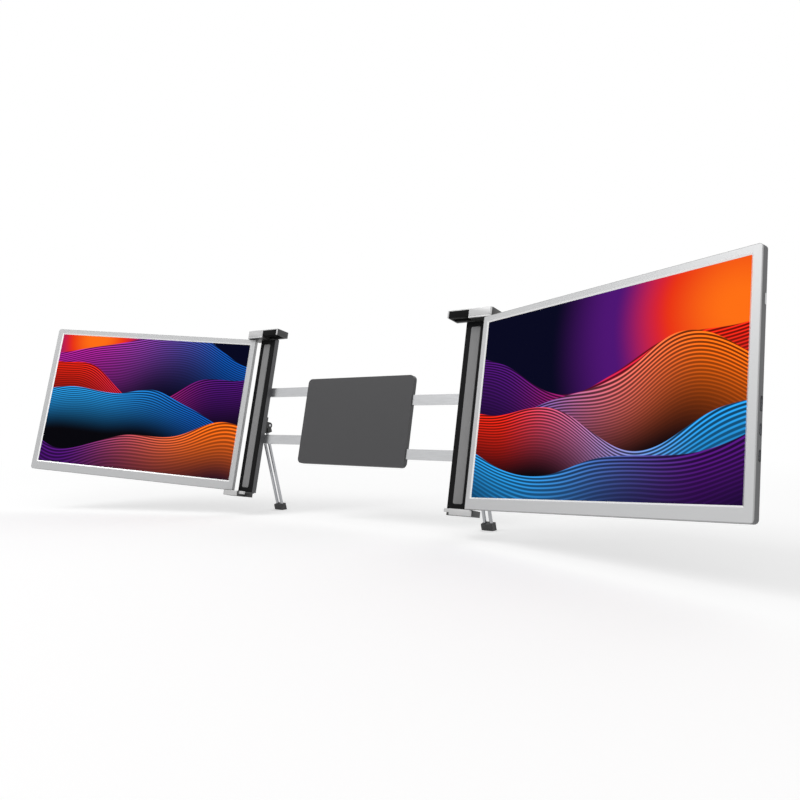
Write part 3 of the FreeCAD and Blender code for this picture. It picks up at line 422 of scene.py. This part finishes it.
def build_wave_group():
    """One wave of the picture: a crest line, colour that fades below it, and fine ridges that follow it."""
    tree, recipe, given, result = new_group("picture wave", WAVE_INPUTS, [("Colour", COLOUR)])
    value = given.outputs
    angle = recipe.math("ADD", recipe.math("MULTIPLY", value["Across"], value["Pitch"]), value["Phase"])
    first = recipe.math("SINE", angle)
    second = recipe.math("MULTIPLY", recipe.math("SINE", recipe.math("MULTIPLY_ADD", angle, 2.3, 1.1)), 0.35)
    crest = recipe.math("MULTIPLY_ADD", recipe.math("ADD", first, second), value["Swell"], value["Level"])
    below = recipe.math("SUBTRACT", crest, value["Up"])
    inside = recipe.between(below, 0.0, 0.004, smooth=True)
    reach = recipe.math("DIVIDE", below, value["Depth"])
    fade = recipe.between(reach, 0.0, 1.0, smooth=True)
    fade = recipe.math("POWER", fade, 0.6)
    rightness = recipe.between(value["Across"], 0.1, 0.9, smooth=True)
    crest_colour = recipe.mix(rightness, value["Crest left"], value["Crest right"])
    body = recipe.mix(fade, crest_colour, value["Trough"])
    warp = recipe.math("MULTIPLY", recipe.math("SINE", recipe.math("MULTIPLY", value["Across"], 7.0)), 0.05)
    ridge = recipe.math("SINE", recipe.math("MULTIPLY", recipe.math("ADD", reach, warp), value["Ridges"]))
    ridge = recipe.between(ridge, -0.4, 1.0, smooth=True)
    shine = recipe.math("MULTIPLY", recipe.math("SUBTRACT", 1.0, fade), value["Ridge light"])
    lit = recipe.math("MULTIPLY", ridge, recipe.math("MULTIPLY", shine, 1.7))
    shade = recipe.math("ADD", recipe.math("SUBTRACT", 1.0, shine), lit)
    ridged = recipe.add("ShaderNodeVectorMath", operation="SCALE")
    recipe.links.new(body, ridged.inputs[0])
    recipe.links.new(shade, ridged.inputs["Scale"])
    recipe.links.new(recipe.mix(inside, value["Behind"], ridged.outputs[0]), result.inputs["Colour"])
    return tree


WAVE = build_wave_group()

NIGHT = (0.0006, 0.0009, 0.013)
BLUE = (0.004, 0.085, 0.42)
CYAN = (0.02, 0.30, 0.72)
VIOLET = (0.075, 0.006, 0.17)
MAGENTA = (0.42, 0.015, 0.32)
RED = (0.80, 0.018, 0.006)
ORANGE = (1.0, 0.16, 0.006)
BLACK = (0.0005, 0.0004, 0.002)

# Level, swell, pitch, phase, depth, crest left, crest right, trough, ridges, ridge light
PICTURES = {
    "right": {
        "glow": (0.98, 0.80, 0.62),
        "waves": (
            (0.70, 0.13, 4.1, 2.7, 0.50, VIOLET, RED, NIGHT, 190.0, 0.80),
            (0.52, 0.15, 4.7, 4.3, 0.46, BLUE, ORANGE, BLACK, 170.0, 0.85),
            (0.38, 0.12, 5.3, 0.9, 0.40, RED, CYAN, BLACK, 150.0, 0.85),
            (0.20, 0.09, 4.4, 3.2, 0.36, CYAN, VIOLET, NIGHT, 130.0, 0.80),
        ),
    },
    "left": {
        "glow": (0.20, 1.0, 0.40),
        "waves": (
            (0.92, 0.10, 4.4, 5.4, 0.50, MAGENTA, BLUE, NIGHT, 180.0, 0.80),
            (0.70, 0.14, 5.0, 1.9, 0.44, RED, VIOLET, BLACK, 165.0, 0.85),
            (0.50, 0.13, 4.2, 0.2, 0.36, CYAN, BLUE, BLACK, 150.0, 0.85),
            (0.24, 0.12, 4.6, 3.9, 0.40, VIOLET, ORANGE, NIGHT, 120.0, 0.75),
        ),
    },
}


def display_picture(side):
    """Flowing layers of fine ridges over a night sky with a warm glow, as a generic desktop picture."""
    design = PICTURES[side]
    material, recipe, shader, _ = new_material(side + " display picture")
    texture = recipe.add("ShaderNodeUVMap", uv_map="picture")
    split = recipe.add("ShaderNodeSeparateXYZ")
    recipe.links.new(texture.outputs[0], split.inputs[0])
    across, level_up = split.outputs[0], split.outputs[1]
    drift = recipe.noise(texture.outputs[0], 1.7, 1.0, 0.4)
    up = recipe.math("MULTIPLY_ADD", recipe.math("SUBTRACT", drift, 0.5), 0.22, level_up)
    colour = rgba(NIGHT)
    glow_x, glow_y, glow_size = design["glow"]
    away_x = recipe.math("MULTIPLY", recipe.math("SUBTRACT", across, glow_x), 1.5)
    away_y = recipe.math("SUBTRACT", up, glow_y)
    square_x = recipe.math("MULTIPLY", away_x, away_x)
    square_y = recipe.math("MULTIPLY", away_y, away_y)
    away = recipe.math("SQRT", recipe.math("ADD", square_x, square_y))
    halos = (
        (glow_size * 1.6, glow_size, VIOLET),
        (glow_size, glow_size * 0.5, RED),
        (glow_size * 0.65, 0.05, ORANGE),
    )
    for outer, inner, halo in halos:
        colour = recipe.mix(recipe.between(away, outer, inner, smooth=True), colour, rgba(halo))
    for level, swell, pitch, phase, depth, left, right, trough, ridges, light in design["waves"]:
        wave = use_group(recipe, WAVE, Across=across, Up=up, Behind=colour, Level=level, Swell=swell,
                         Pitch=pitch, Phase=phase, Depth=depth, Crest_left=rgba(left),
                         Crest_right=rgba(right), Trough=rgba(trough), Ridges=ridges, Ridge_light=light)
        colour = wave.outputs["Colour"]
    recipe.links.new(colour, shader.inputs["Emission Color"])
    shader.inputs["Emission Strength"].default_value = 1.0
    shader.inputs["Base Color"].default_value = grey(0.003)
    shader.inputs["Roughness"].default_value = 0.35
    shader.inputs["Specular IOR Level"].default_value = 0.5
    shader.inputs["IOR"].default_value = 1.02
    return material


def beyond_rectangle(recipe, x, z, centre, half_sizes):
    """How far a point lies outside a rectangle, or, below zero, inside it."""
    distances = []
    for value, middle, half in zip((x, z), centre, half_sizes):
        offset = recipe.math("ABSOLUTE", recipe.math("SUBTRACT", value, middle))
        distances.append(recipe.math("SUBTRACT", offset, half))
    return recipe.math("MAXIMUM", *distances)


def bezel_metal(side, colour):
    """Blasted aluminium with a polished chamfer round the display, painted bright as a highlight, and a darker
    line at its rim.
    """
    material, recipe, shader, place = new_material(side + " bezel aluminium painted highlight")
    grain = use_group(recipe, GRAIN, Place=place, Colour=rgba(colour), Roughness=0.42, Scale=1500.0,
                      Mottle=0.012, Relief=0.01)
    x, _, z = in_display_frame(recipe, place, side)
    half_display = (DISPLAY_WIDTH / 2, DISPLAY_HEIGHT / 2)
    beyond = beyond_rectangle(recipe, x, z, half_display, half_display)
    plain = recipe.between(beyond, BEZEL_CHAMFER * 0.96, BEZEL_CHAMFER * 1.04)
    chamfer = recipe.math("SUBTRACT", 1.0, plain)
    centre = (RIM_CENTRE[side], RIM_CENTRE_UP)
    outside = beyond_rectangle(recipe, x, z, centre, (RIM_HALF_WIDTH, RIM_HALF_HEIGHT))
    rim = recipe.between(outside, -RIM_INNER, -RIM_OUTER)
    face = recipe.mix(recipe.math("MULTIPLY", rim, RIM_STRENGTH), grain.outputs["Colour"], grey(0.30))
    # The chamfer is painted near-white as a highlight; the rest of the face keeps its grain colour.
    recipe.links.new(recipe.mix(chamfer, face, grey(0.92)), shader.inputs["Base Color"])
    polish = recipe.math("MULTIPLY", chamfer, 0.15)
    rough = recipe.math("SUBTRACT", grain.outputs["Roughness"], polish, clamp=True)
    recipe.links.new(rough, shader.inputs["Roughness"])
    recipe.links.new(grain.outputs["Normal"], shader.inputs["Normal"])
    shader.inputs["Metallic"].default_value = 0.55
    return material


def cap_with_painted_side_shade():
    """Blasted aluminium that is silver at the front, with its side faces painted dark as shade."""
    material, recipe, shader, place = new_material("cap aluminium with painted side shade")
    turn = recipe.add("ShaderNodeMapping", vector_type="TEXTURE")
    recipe.links.new(place, turn.inputs["Vector"])
    turn.inputs["Rotation"].default_value = (math.radians(-LEAN), 0.0, 0.0)
    split = recipe.add("ShaderNodeSeparateXYZ")
    recipe.links.new(turn.outputs[0], split.inputs[0])
    silver_end = CAP_FRONT + SILVER_DEPTH
    side_shade = recipe.between(split.outputs[1], silver_end, silver_end + SILVER_FADE)
    inward = recipe.math("LESS_THAN", recipe.math("ABSOLUTE", split.outputs[0]), TAB_ROOT)
    tab = recipe.math("MULTIPLY", inward, recipe.math("LESS_THAN", split.outputs[2], 0.0))
    tab = recipe.math("MULTIPLY", tab, recipe.math("LESS_THAN", split.outputs[1], 0.0))
    side_shade = recipe.math("MULTIPLY", side_shade, recipe.math("SUBTRACT", 1.0, tab))
    # The side faces are painted dark grey as shade; the front and the tabs stay silver.
    colour = recipe.mix(side_shade, grey(0.60), grey(0.062))
    grain = use_group(recipe, GRAIN, Place=place, Colour=colour, Roughness=0.40, Scale=3000.0, Mottle=0.05,
                      Relief=0.10)
    wear(recipe, grain, shader)
    shader.inputs["Metallic"].default_value = 0.45
    return material


GROOVE_PITCH = 1.5 * MM


def ribbed_rubber():
    """Rubber of the feet, with fine upright grooves, painted darker in the grooves as shade."""
    material, recipe, shader, place = new_material("foot rubber")
    split = recipe.add("ShaderNodeSeparateXYZ")
    recipe.links.new(place, split.inputs[0])
    along = recipe.math("ADD", split.outputs[0], split.outputs[1])
    ribs = recipe.math("SINE", recipe.math("MULTIPLY", along, 2.0 * math.pi / GROOVE_PITCH))
    height = recipe.between(ribs, -0.6, 0.6, smooth=True)
    grain = use_group(recipe, GRAIN, Place=place, Colour=(0.15, 0.15, 0.153, 1.0), Roughness=0.62,
                      Scale=1500.0, Mottle=0.1, Relief=0.3)
    # The grooves are painted near-black as shade; the ribs keep the rubber colour.
    shade = recipe.mix(height, grey(0.035), grain.outputs["Colour"])
    recipe.links.new(shade, shader.inputs["Base Color"])
    recipe.links.new(grain.outputs["Roughness"], shader.inputs["Roughness"])
    recipe.links.new(recipe.bump(height, 0.7, 0.3 * MM, grain.outputs["Normal"]), shader.inputs["Normal"])
    shader.inputs["Specular IOR Level"].default_value = 0.3
    return material


def build_finishes():
    steel = (0.55, 0.555, 0.565)
    return {
        "display": grained("display glass border", (0.006, 0.006, 0.008), 0.12, scale=900.0, mottle=0.02,
                           relief=0.0),
        "backlight": grained("backlight tray", (0.72, 0.72, 0.70), 0.5, mottle=0.03),
        "dark_shell": grained("monitor shell", (0.150, 0.151, 0.156), 0.46, scale=3600.0, mottle=0.05,
                              relief=0.28),
        "circuit_board": grained("circuit board", (0.015, 0.10, 0.045), 0.35, scale=1500.0, mottle=0.1),
        "port_metal": brushed("port shells", (0.62, 0.63, 0.65), 0.28, (900.0, 900.0, 90.0)),
        "ribbon": grained("ribbon film", (0.45, 0.2, 0.04), 0.35, scale=800.0),
        "speaker": grained("speaker body", (0.02, 0.02, 0.021), 0.6),
        "hinge_steel": brushed("hinge steel", steel, 0.32, (120.0, 900.0, 900.0)),
        "screw": grained("blackened screws", (0.10, 0.10, 0.105), 0.32, metallic=1.0, scale=5000.0,
                         mottle=0.05, relief=0.05),
        "button": grained("button aluminium", (0.5, 0.505, 0.51), 0.36, metallic=1.0),
        "pillar": grained("pillar aluminium", (0.10, 0.10, 0.104), 0.4, metallic=0.7, scale=3200.0,
                          mottle=0.05, relief=0.14),
        "black_panel": grained("black pillar front", (0.004, 0.004, 0.0045), 0.5, scale=2600.0, mottle=0.05,
                               relief=0.06, specular=0.1),
        "grey_silicone": grained("silicone pad", (0.32, 0.32, 0.322), 0.72, scale=1800.0, mottle=0.06,
                                 relief=0.25, specular=0.25),
        "silver_cap": cap_with_painted_side_shade(),
        "pin_steel": brushed("hinge pins", steel, 0.22, (900.0, 900.0, 120.0)),
        "rail": brushed("slide rails", (0.50, 0.505, 0.515), 0.3, (60.0, 1400.0, 1400.0)),
        "leg_plastic": grained("leg bracket plastic", (0.018, 0.018, 0.019), 0.45, relief=0.2),
        "spring_steel": brushed("spring wire", steel, 0.3, (900.0, 900.0, 900.0)),
        "black_rubber": grained("clamp rubber", (0.005, 0.005, 0.0052), 0.7, scale=1600.0, mottle=0.1,
                                relief=0.3, specular=0.1),
        "mast_steel": brushed("clamp mast", steel, 0.3, (1400.0, 1400.0, 60.0)),
        "leg_rod": brushed("leg rods", (0.42, 0.425, 0.44), 0.18, (1600.0, 1600.0, 60.0), contrast=0.05),
        "foot_rubber": ribbed_rubber(),
        "dark_housing": grained("centre housing", (0.055, 0.055, 0.058), 0.48, scale=3400.0, mottle=0.05,
                                relief=0.3),
        "guide_plastic": grained("rail guides", (0.55, 0.55, 0.53), 0.5),
    }


FINISHES = build_finishes()
# The left bezel is painted a little darker than the right one, as shade; both are the same aluminium.
BEZELS = {
    "left": bezel_metal("left", (0.56, 0.565, 0.57)),
    "right": bezel_metal("right", (0.60, 0.605, 0.61)),
}


def finish_of(node):
    if SLOT_OF[node] == "silver_bezel":
        return BEZELS[node.split("_")[0]]
    return FINISHES[SLOT_OF[node]]


def dress_nodes():
    for name, node in NODES.items():
        node.data.materials.clear()
        node.data.materials.append(finish_of(name))


# Rounded copies of the hard pieces, with their edge radii

ROUNDED = {
    "clamp_block": 0.3 * MM,
    "top_cap": 0.35 * MM,
    "bottom_cap": 0.6 * MM,
    "lid_pad": 0.7 * MM,
    "clamp_pad": 0.4 * MM,
    "leg_head": 0.4 * MM,
}


def round_edges():
    for side in SIDES:
        for key, width in ROUNDED.items():
            node = side + "_" + key
            softened(node, width, finish_of(node))


# Repeated details, by geometry nodes

def build_repeat_tree():
    """Geometry nodes that set one small mesh on every point of a mesh."""
    tree = bpy.data.node_groups.new("set on points", "GeometryNodeTree")
    tree.interface.new_socket("Geometry", in_out="INPUT", socket_type="NodeSocketGeometry")
    detail = tree.interface.new_socket("Detail", in_out="INPUT", socket_type="NodeSocketObject")
    turn = tree.interface.new_socket("Turn", in_out="INPUT", socket_type="NodeSocketRotation")
    material = tree.interface.new_socket("Material", in_out="INPUT", socket_type="NodeSocketMaterial")
    tree.interface.new_socket("Geometry", in_out="OUTPUT", socket_type="NodeSocketGeometry")
    given = tree.nodes.new("NodeGroupInput")
    result = tree.nodes.new("NodeGroupOutput")
    info = tree.nodes.new("GeometryNodeObjectInfo")
    place = tree.nodes.new("GeometryNodeInstanceOnPoints")
    realize = tree.nodes.new("GeometryNodeRealizeInstances")
    paint = tree.nodes.new("GeometryNodeSetMaterial")
    tree.links.new(given.outputs["Geometry"], place.inputs["Points"])
    tree.links.new(given.outputs["Detail"], info.inputs["Object"])
    tree.links.new(info.outputs["Geometry"], place.inputs["Instance"])
    tree.links.new(given.outputs["Turn"], place.inputs["Rotation"])
    tree.links.new(place.outputs[0], realize.inputs[0])
    tree.links.new(realize.outputs[0], paint.inputs["Geometry"])
    tree.links.new(given.outputs["Material"], paint.inputs["Material"])
    tree.links.new(paint.outputs[0], result.inputs[0])
    return tree, detail.identifier, turn.identifier, material.identifier


REPEAT = build_repeat_tree()


def repeated(name, points, detail_mesh, turn, material, body):
    """One mesh with the detail set on every point, riding on a body."""
    tree, detail_key, turn_key, material_key = REPEAT
    cloud = bpy.data.meshes.new(name + "_points")
    cloud.from_pydata([tuple(point) for point in points], [], [])
    carrier = bpy.data.objects.new("carrier", cloud)
    detail = bpy.data.objects.new("detail", detail_mesh)
    for item in (carrier, detail):
        bpy.context.scene.collection.objects.link(item)
    modifier = carrier.modifiers.new("repeat", "NODES")
    modifier.node_group = tree
    modifier[detail_key] = detail
    modifier[turn_key] = turn
    modifier[material_key] = material
    carrier.update_tag()
    bpy.context.view_layer.update()
    graph = bpy.context.evaluated_depsgraph_get()
    mesh = bpy.data.meshes.new_from_object(carrier.evaluated_get(graph))
    for item in (carrier, detail):
        bpy.data.objects.remove(item)
    return finished(name, mesh, material, body)


def prism(outline, low, high):
    """A closed solid with this outline in XY, from low to high in z."""
    model = bmesh.new()
    bottom = [model.verts.new((x, y, low)) for x, y in outline]
    top = [model.verts.new((x, y, high)) for x, y in outline]
    model.faces.new(list(reversed(bottom)))
    model.faces.new(top)
    for index in range(len(outline)):
        following = (index + 1) % len(outline)
        model.faces.new([bottom[index], bottom[following], top[following], top[index]])
    bmesh.ops.recalc_face_normals(model, faces=model.faces)
    mesh = bpy.data.meshes.new("prism")
    model.to_mesh(mesh)
    model.free()
    return mesh


def cross_outline(arm, half):
    """Outline of a cross, as one arm turned four times."""
    outline = []
    arm_points = ((half, half), (half, arm), (-half, arm))
    for quarter in range(4):
        turn = Matrix.Rotation(quarter * math.pi / 2, 2)
        outline += [tuple(turn @ Vector(point)) for point in arm_points]
    return outline


def head_centres(node, outward):
    """Centre of the top of every screw head of a node whose screws all point the same way."""
    mesh = merged_copy(node)
    model = bmesh.new()
    model.from_mesh(mesh)
    unseen = set(model.verts)
    centres = []
    while unseen:
        island = {unseen.pop()}
        waiting = list(island)
        while waiting:
            vert = waiting.pop()
            for edge in vert.link_edges:
                other = edge.other_vert(vert)
                if other in unseen:
                    unseen.discard(other)
                    island.add(other)
                    waiting.append(other)
        top = max(vert.co.dot(outward) for vert in island)
        rim = [vert.co for vert in island if vert.co.dot(outward) > top - 0.01 * MM]
        centres.append(sum(rim, Vector()) / len(rim))
    model.free()
    return centres


CROSS_ARM = 0.95 * MM
CROSS_HALF_WIDTH = 0.24 * MM
CROSS_DEPTH = 0.2 * MM
CROSS_PROUD = 0.015 * MM


def mark_screws():
    """Cross recesses of the screw heads, as thin dark inlays that paint the shade inside them."""
    outward = (LEAN_BACK @ Vector((0.0, 1.0, 0.0))).normalized()
    turn = outward.to_track_quat("Z", "Y").to_euler()
    # The crosses are near-black, as painted shade in the recesses of the screw heads.
    painted_recess_shade = grained("screw recess", (0.008, 0.008, 0.008), 0.6, scale=4000.0, mottle=0.05, relief=0.05,
                     specular=0.2)
    for node in ("housing_screws", "left_frame_screws", "right_frame_screws"):
        cross = prism(cross_outline(CROSS_ARM, CROSS_HALF_WIDTH), -CROSS_DEPTH, CROSS_PROUD)
        heads = head_centres(node, outward)
        repeated(node + "_recesses", heads, cross, turn, painted_recess_shade, BODY_OF[node])


# Ribs on the feet, and how far the legs lean at rest, in degrees
RIB_COUNT = 9
RIB_PITCH = 1.55 * MM
RIB_HALF_WIDTH = 0.42 * MM
RIB_PROUD = 0.22 * MM
FOOT_HALF_DEPTH = 4.3 * MM
RIB_LENGTH = 6.6 * MM
LEG_TURN = 14.9


def rib_feet():
    """Upright ribs on the front and the back of each foot."""
    turn = Matrix.Rotation(math.radians(LEG_TURN), 4, "X")
    for side in SIDES:
        low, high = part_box(side + "_leg_foot")
        middle = turn.inverted() @ ((low + high) / 2)
        points = []
        for face in (-1.0, 1.0):
            for index in range(RIB_COUNT):
                x = middle.x + (index - (RIB_COUNT - 1) / 2) * RIB_PITCH
                points.append(turn @ Vector((x, middle.y + face * FOOT_HALF_DEPTH, middle.z)))
        width, proud, inset = RIB_HALF_WIDTH, RIB_PROUD, 0.5 * RIB_PROUD
        front = [(-width, -inset), (-inset, -proud), (inset, -proud), (width, -inset)]
        back = [(-x, -y) for x, y in front]
        rib = prism(front + back, -RIB_LENGTH / 2, RIB_LENGTH / 2)
        rubber = FINISHES["foot_rubber"]
        repeated(side + "_foot_ribs", points, rib, turn.to_euler(), rubber, side + "_leg")


# Studio

def seen_directly(recipe):
    """1 where a camera, mirror or glass ray looks, 0 for the rays that only carry light."""
    path = recipe.add("ShaderNodeLightPath")
    seen = recipe.math("MAXIMUM", path.outputs["Is Camera Ray"], path.outputs["Is Glossy Ray"])
    return recipe.math("MAXIMUM", seen, path.outputs["Is Transmission Ray"])


def floor_material():
    """A pale floor that takes the shadow and fades to white with distance."""
    material = bpy.data.materials.new("pale floor")
    material.use_nodes = True
    recipe = Recipe(material.node_tree)
    recipe.nodes.clear()
    seen = seen_directly(recipe)
    diffuse = recipe.add("ShaderNodeBsdfDiffuse")
    diffuse.inputs["Color"].default_value = grey(0.86)
    glow = recipe.add("ShaderNodeEmission")
    glow.inputs["Color"].default_value = grey(1.0)
    recipe.links.new(recipe.math("MULTIPLY", seen, FLOOR_GLOW), glow.inputs["Strength"])
    near = recipe.add("ShaderNodeAddShader")
    recipe.links.new(diffuse.outputs[0], near.inputs[0])
    recipe.links.new(glow.outputs[0], near.inputs[1])
    white = recipe.add("ShaderNodeEmission")
    white.inputs["Color"].default_value = grey(1.0)
    place = recipe.add("ShaderNodeTexCoord").outputs["Object"]
    distance = recipe.add("ShaderNodeVectorMath", operation="LENGTH")
    recipe.links.new(place, distance.inputs[0])
    far = recipe.between(distance.outputs["Value"], FADE_START, FADE_END, smooth=True)
    fade = recipe.add("ShaderNodeMixShader")
    recipe.links.new(recipe.math("MULTIPLY", far, seen), fade.inputs[0])
    recipe.links.new(near.outputs[0], fade.inputs[1])
    recipe.links.new(white.outputs[0], fade.inputs[2])
    output = recipe.add("ShaderNodeOutputMaterial")
    recipe.links.new(fade.outputs[0], output.inputs[0])
    return material


def make_floor():
    floor_level = min(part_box(side + "_leg_foot")[0].z for side in SIDES)
    bpy.ops.mesh.primitive_plane_add(size=FLOOR_SIZE, location=(0.0, 0.0, floor_level - FLOOR_DROP))
    floor = bpy.context.object
    floor.name = "studio_floor"
    floor.data.materials.append(floor_material())


def make_world(scene):
    """White where it is looked at, dimmer as a source of light."""
    world = bpy.data.worlds.new("studio") if scene.world is None else scene.world
    scene.world = world
    world.use_nodes = True
    recipe = Recipe(world.node_tree)
    recipe.nodes.clear()
    background = recipe.add("ShaderNodeBackground")
    background.inputs["Color"].default_value = grey(1.0)
    strength = recipe.between(seen_directly(recipe), 0.0, 1.0, AMBIENT, 1.0)
    recipe.links.new(strength, background.inputs["Strength"])
    output = recipe.add("ShaderNodeOutputWorld")
    recipe.links.new(background.outputs[0], output.inputs[0])


# Name, place in metres, size in metres and power in watts
LAMPS = (
    ("key", (-1.3, -1.7, 2.3), 1.5, 22.0),
    ("fill", (1.7, -2.0, 1.4), 1.8, 6.0),
    ("rim", (0.2, 1.9, 1.9), 1.8, 8.0),
)


def make_lamps(scene):
    for name, place, size, power in LAMPS:
        data = bpy.data.lights.new(name, "AREA")
        data.size = size
        data.energy = power
        lamp = bpy.data.objects.new(name, data)
        lamp.location = place
        lamp.rotation_euler = (Vector(AIM) - Vector(place)).to_track_quat("-Z", "Y").to_euler()
        scene.collection.objects.link(lamp)


def make_camera(scene):
    data = bpy.data.cameras.new("camera")
    data.sensor_width = SENSOR_WIDTH
    data.lens = FOCAL_PIXELS / IMAGE_PIXELS * SENSOR_WIDTH
    data.clip_start = 0.01
    camera = bpy.data.objects.new("camera", data)
    camera.location = CAMERA_PLACE
    camera.rotation_euler = Euler([math.radians(angle) for angle in CAMERA_TURN], "XYZ")
    scene.collection.objects.link(camera)
    scene.camera = camera


def make_studio():
    scene = bpy.context.scene
    make_floor()
    make_world(scene)
    make_lamps(scene)
    make_camera(scene)
    scene.view_settings.view_transform = "Standard"


def write_sizes():
    import json


dress_nodes()
round_edges()
mark_screws()
rib_feet()
for side in SIDES:
    make_display_film(side, display_picture(side))
make_studio()
write_sizes()
